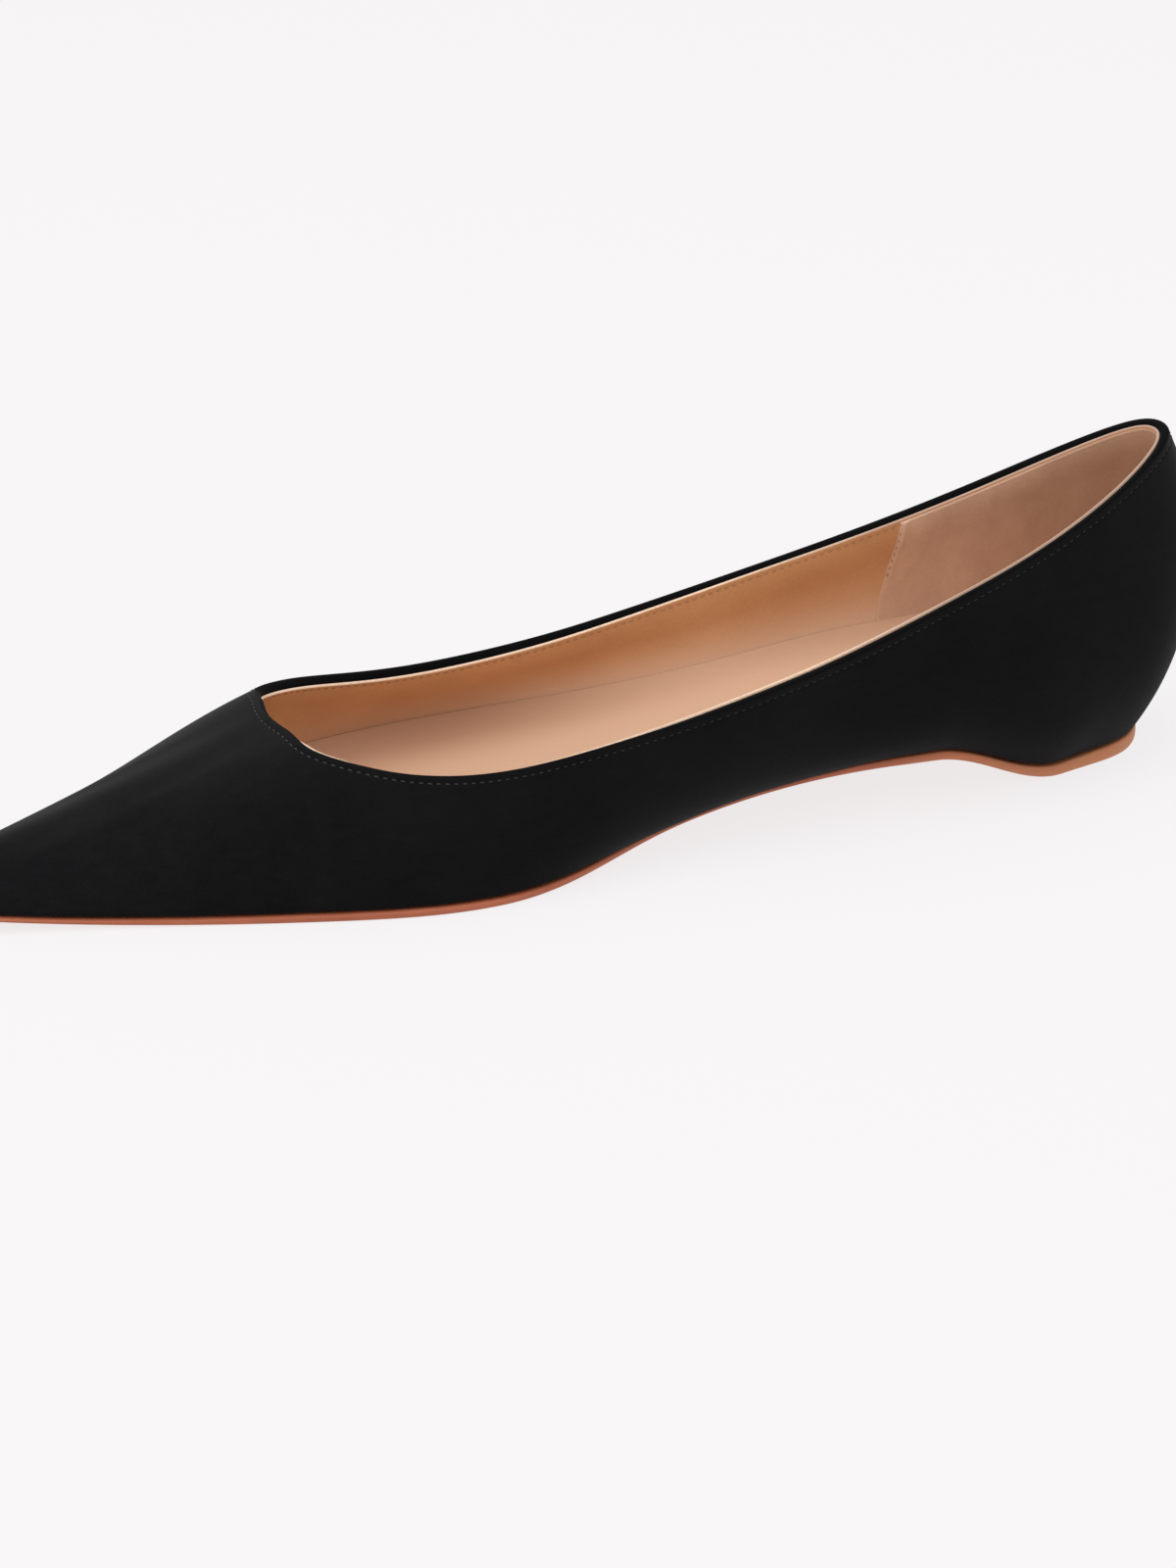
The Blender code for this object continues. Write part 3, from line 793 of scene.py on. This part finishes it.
def makeSock():
    turn = sideTurns(260)
    turn = turn[footAlong(turn) * last["length"] > last["toeRoom"]]
    depth = last["wall"] + sockShape["room"]
    edge = {}
    for side, spots in (("medial", turn), ("lateral", 2.0 * sideLength - turn)):
        low = bedEdge(spots, lambda a: sockTop(a) - last["sockThickness"], depth)
        top = bedEdge(spots, lambda a: sockTop(a) + sockCurl(a), depth)
        edge[side] = (low, top)
    even = np.linspace(0.0, 1.0, sockShape["across"])
    shares = 0.5 - 0.5 * np.cos(np.pi * even)
    rows = []
    for i in range(len(turn)):
        (mLow, mTop), (lLow, lTop) = ((edge[s][0][i], edge[s][1][i]) for s in ("medial", "lateral"))
        width = abs(lTop[1] - mTop[1])
        dip = 4.0 * last["footbedDish"] * min(width / 40.0, 1.0)
        curl = sockCurl(mTop[0])
        wide = min(sockShape["curlWide"], width / 3.0)
        top = []
        for s in shares:
            point = mTop + s * (lTop - mTop) - [0.0, 0.0, dip * s * (1.0 - s)]
            nearEdge = min(s, 1.0 - s) * width
            point[2] -= curl * (1.0 - max(1.0 - nearEdge / wide, 0.0) ** 2)
            top.append(point)
        bottom = [mLow + s * (lLow - mLow) - [0.0, 0.0, dip * s * (1.0 - s)] for s in shares[::-1]]
        rows.append(top + bottom)
    nose = np.mean(rows[-1], axis=0)
    rows.append([nose] * len(rows[-1]))
    piece = gridPiece("sock_lining", np.array(rows), False, True, [sockLeather])
    print("sock:", len(piece.data.polygons), "faces")
    return piece


sock = makeSock()

soleShape = {
    # how far out of the margin, and the share of the thickness there
    "edgeTop": [(-0.7, 1.0), (-0.15, 1.0), (0.08, 0.96), (0.2, 0.86), (0.25, 0.7)],
    "edgeFoot": [(0.26, 0.5), (0.22, 0.32), (0.1, 0.16), (-0.12, 0.05), (-0.5, 0.0)],
    "across": 25,
    "tuckStarts": 45.0,  # before the arch's front
    "tuckEases": 30.0,
}


def soleSide(turn):
    foot, direction = footLine(turn)
    low = underside(foot[:, 0])
    thick = foot[:, 2] - last["gap"] - low
    starts = smoothStep(foot[:, 0], last["treadBack"], last["archFront"] - soleShape["tuckStarts"])
    ends = smoothStep(foot[:, 0], last["archFront"] - soleShape["tuckEases"], last["heelFront"])
    tuckIn = starts * (1.0 - ends)
    tuckIn = np.where(foot[:, 1] < 0.0, last["waistTuck"] * tuckIn, 0.0)
    atBack = smoothStep(foot[:, 0], last["heelFront"], last["heelBack"])
    margin = last["soleMargin"] + (last["backMargin"] - last["soleMargin"]) * atBack
    profile = []
    for out, height in soleShape["edgeTop"] + soleShape["edgeFoot"]:
        point = foot + (margin - tuckIn + out)[:, None] * direction
        point[:, 2] = low + thick * height
        profile.append(point)
    return np.stack(profile, axis=1)


def makeSole():
    turn = sideTurns(300)
    medial = soleSide(turn)
    lateral = soleSide(2.0 * sideLength - turn)
    shares = np.linspace(0.0, 1.0, soleShape["across"])[1:-1, None]
    rows = []
    for near, far in zip(medial, lateral):
        under = near[-1] + shares * (far[-1] - near[-1])
        over = far[0] + shares * (near[0] - far[0])
        rows.append(np.concatenate([near, under, far[::-1], over]))
    piece = gridPiece("leather_sole", np.array(rows), False, True, [soleLeather])
    print("sole:", len(piece.data.polygons), "faces")
    return piece


sole = makeSole()


# Geometry Nodes that lay one arched stitch after another along a guide line.
def stitchTree(name, defaults, thread):
    tree = bpy.data.node_groups.new(name, "GeometryNodeTree")
    tree.interface.new_socket("Guide", in_out="INPUT", socket_type="NodeSocketGeometry")
    sockets = {}
    for label, value in defaults.items():
        kind = "NodeSocketInt" if isinstance(value, int) else "NodeSocketFloat"
        socket = tree.interface.new_socket(label, in_out="INPUT", socket_type=kind)
        socket.default_value = value
        sockets[label] = socket.identifier
    tree.interface.new_socket("Stitches", in_out="OUTPUT", socket_type="NodeSocketGeometry")

    def node(kind, inputs=None, **settings):
        made = tree.nodes.new(kind)
        for key, value in settings.items():
            setattr(made, key, value)
        for key, value in (inputs or {}).items():
            if isinstance(value, bpy.types.NodeSocket):
                tree.links.new(value, made.inputs[key])
            else:
                made.inputs[key].default_value = value
        return made

    given = node("NodeGroupInput").outputs
    line = node("GeometryNodeMeshToCurve", {"Mesh": given["Guide"]})
    guide = {"Curve": line.outputs[0], "Length": given["Pitch"]}
    spaced = node("GeometryNodeResampleCurve", guide, mode="LENGTH")
    outNormal = node("GeometryNodeInputNamedAttribute", {"Name": "outNormal"}, data_type="FLOAT_VECTOR")
    tangent = node("GeometryNodeInputTangent")
    facing = node(
        "FunctionNodeAxesToRotation",
        {"Primary Axis": outNormal.outputs["Attribute"], "Secondary Axis": tangent.outputs[0]},
        primary_axis="Z",
        secondary_axis="X",
    )
    halfLength = node("ShaderNodeMath", {0: given["Length"], 1: 0.5}, operation="MULTIPLY").outputs[0]
    minusHalf = node("ShaderNodeMath", {0: given["Length"], 1: -0.5}, operation="MULTIPLY").outputs[0]
    dip = node("ShaderNodeMath", {0: given["Dip"], 1: -1.0}, operation="MULTIPLY").outputs[0]
    start = node("ShaderNodeCombineXYZ", {"X": minusHalf, "Z": dip}).outputs[0]
    middle = node("ShaderNodeCombineXYZ", {"Z": given["Arch"]}).outputs[0]
    end = node("ShaderNodeCombineXYZ", {"X": halfLength, "Z": dip}).outputs[0]
    ends = {"Resolution": 5, "Start": start, "Middle": middle, "End": end}
    arc = node("GeometryNodeCurveQuadraticBezier", ends).outputs[0]
    across = {"Resolution": 7, "Radius": given["Thread"]}
    profile = node("GeometryNodeCurvePrimitiveCircle", across).outputs[0]
    stitch = node("GeometryNodeCurveToMesh", {"Curve": arc, "Profile Curve": profile, "Fill Caps": True})
    turns = {"Min": (-0.06, -0.03, -0.07), "Max": (0.06, 0.03, 0.07), "Seed": given["Seed"]}
    uneven = node("FunctionNodeRandomValue", turns, data_type="FLOAT_VECTOR")
    size = node("FunctionNodeRandomValue", {2: 0.93, 3: 1.05, "Seed": given["Seed"]}, data_type="FLOAT")
    wobble = node("FunctionNodeEulerToRotation", {0: uneven.outputs[0]})
    both = {0: facing.outputs[0], 1: wobble.outputs[0]}
    turned = node("FunctionNodeRotateRotation", both, rotation_space="LOCAL")
    instances = {
        "Points": spaced.outputs[0],
        "Instance": stitch.outputs[0],
        "Rotation": turned.outputs[0],
        "Scale": size.outputs[1],
    }
    placed = node("GeometryNodeInstanceOnPoints", instances)
    real = node("GeometryNodeRealizeInstances", {"Geometry": placed.outputs[0]})
    smooth = node("GeometryNodeSetShadeSmooth", {"Geometry": real.outputs[0]})
    finished = node("GeometryNodeSetMaterial", {"Geometry": smooth.outputs[0], "Material": thread})
    node("NodeGroupOutput", {0: finished.outputs[0]})
    return tree, sockets


def guideLine(name, points, normals, closed):
    mesh = bpy.data.meshes.new(name)
    places = onFrame(points)
    count = len(places)
    edges = [(i, (i + 1) % count) for i in range(count if closed else count - 1)]
    mesh.from_pydata(places.tolist(), edges, [])
    stored = mesh.attributes.new("outNormal", "FLOAT_VECTOR", "POINT")
    stored.data.foreach_set("vector", np.asarray(normals, np.float32).reshape(-1))
    guide = bpy.data.objects.new(name, mesh)
    bpy.context.scene.collection.objects.link(guide)
    return guide


def stitchRow(name, points, normals, closed, sizes, thread):
    guide = guideLine(name, points, normals, closed)
    tree, sockets = stitchTree(name + "_tree", sizes, thread)
    modifier = guide.modifiers.new("stitches", "NODES")
    modifier.node_group = tree
    for label, value in sizes.items():
        modifier[sockets[label]] = value
    bpy.context.view_layer.update()
    graph = bpy.context.evaluated_depsgraph_get()
    made = bpy.data.meshes.new_from_object(guide.evaluated_get(graph))
    guide.modifiers.remove(modifier)
    guide.data = made
    made.name = name
    print(name + ":", len(made.polygons), "faces")
    return guide


# In metres: the tree's inputs go by these names.
outerStitch = {
    "Pitch": 0.0017,
    "Length": 0.00064,
    "Thread": 0.00017,
    "Arch": 0.0003,
    "Dip": 0.00006,
    "Seed": 3,
}
innerStitch = {
    "Pitch": 0.0017,
    "Length": 0.0008,
    "Thread": 0.00014,
    "Arch": 0.0002,
    "Dip": 0.00004,
    "Seed": 8,
}


# A line round the shoe at one distance below the topline, with its outward direction.
def ringLine(turn, down, offset):
    wanted = np.full((len(turn), 1), down)
    up = sharesUp(turn, wanted)[0]
    out = wallFrame(turn, up)[1]
    return (wallFace(turn, up) + out * offset)[:, 0], out[:, 0]


def makeStitches():
    turn = ringTurns(260)
    line, out = ringLine(turn, rim["stitchDown"], -rim["groove"])
    outer = stitchRow("topline_stitches", line, out, True, outerStitch, blackThread)
    down = rim["innerStitchDown"]
    depth = float(liningDepth(np.array(down)))
    inLine, inOut = ringLine(turn, down, -depth)
    inner = stitchRow("lining_stitches", inLine, -inOut, True, innerStitch, tanThread)
    made = [outer, inner]
    for side, sign in (("medial", 1.0), ("lateral", -1.0)):
        down = np.linspace(3.2, grip["stitchedDown"], 24)
        spot = sign * (gripReach(down) - grip["stitchBehind"])
        points, away = overLining(spot, down, np.full(down.shape, 0.8 * grip["thickness"]))
        made.append(stitchRow(side + "_grip_stitches", points, -away, False, innerStitch, tanThread))
    return made


toplineStitches, *liningStitches = makeStitches()

for piece in (suedeUpper, lining, heelGrip, sock, sole, toplineStitches, *liningStitches):
    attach(piece, "root")
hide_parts("upper")
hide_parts("sock")
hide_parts("outsole")
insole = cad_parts["insole"]
insole.data.materials.clear()
insole.data.materials.append(insoleBoard)
print("pieces joined to the frame")

studio = {
    "floorColour": (0.12, 0.118, 0.119),
    "floorGlow": (0.80, 0.782, 0.79),  # the floor is a lit table, so shadows on it stay pale
    "worldColour": (0.97, 0.965, 0.97),
    "worldStrength": 0.78,
    "keyEnergy": 10.5,
    "keySize": 1.7,
    "keyPlace": (-0.25, -0.3, 1.15),
}


def makeStudio():
    bpy.ops.mesh.primitive_plane_add(size=12.0, location=(0.0, 0.0, 0.0))
    floor = bpy.context.object
    floor.name = "floor"
    paint = Finish("floorPaint", Roughness=0.9, Specular_IOR_Level=0.0)
    paint.shader.inputs["Base Color"].default_value = (*studio["floorColour"], 1.0)
    paint.shader.inputs["Emission Color"].default_value = (*studio["floorGlow"], 1.0)
    paint.shader.inputs["Emission Strength"].default_value = 1.0
    floor.data.materials.append(paint.material)
    world = bpy.data.worlds.new("studio")
    world.use_nodes = True
    sky = world.node_tree.nodes["Background"]
    sky.inputs["Color"].default_value = (*studio["worldColour"], 1.0)
    sky.inputs["Strength"].default_value = studio["worldStrength"]
    bpy.context.scene.world = world
    lamp = bpy.data.lights.new("key", "AREA")
    lamp.shape = "DISK"
    lamp.size = studio["keySize"]
    lamp.energy = studio["keyEnergy"]
    key = bpy.data.objects.new("key", lamp)
    key.location = studio["keyPlace"]
    key.rotation_euler = (Vector((0.0, 0.0, 0.0)) - key.location).to_track_quat("-Z", "Y").to_euler()
    bpy.context.scene.collection.objects.link(key)
    bpy.context.scene.view_settings.view_transform = "Standard"
    bpy.context.scene.view_settings.look = "None"


makeStudio()

camera = {
    "turned": 21.31,  # degrees round from square on to the shoe's side
    "raised": 23.88,
    "away": 1.2,
    "lens": 141.6,
    "target": (8.105, -3.16, 8.18),  # in millimetres, across measured from the heel to toe line
}


def makeCamera():
    turned, raised = math.radians(camera["turned"]), math.radians(camera["raised"])
    x, y, z = camera["target"]
    target = Vector((x, y - sideShift, z)) * 0.001
    level = math.cos(raised)
    back = Vector((-math.sin(turned) * level, -math.cos(turned) * level, math.sin(raised)))
    data = bpy.data.cameras.new("camera")
    data.sensor_width = 36.0
    data.lens = camera["lens"]
    data.clip_start = 0.01
    data.clip_end = 60.0
    view = bpy.data.objects.new("camera", data)
    view.location = target + camera["away"] * back
    view.rotation_euler = back.to_track_quat("Z", "Y").to_euler()
    bpy.context.scene.collection.objects.link(view)
    bpy.context.scene.camera = view


makeCamera()
print("studio ready")
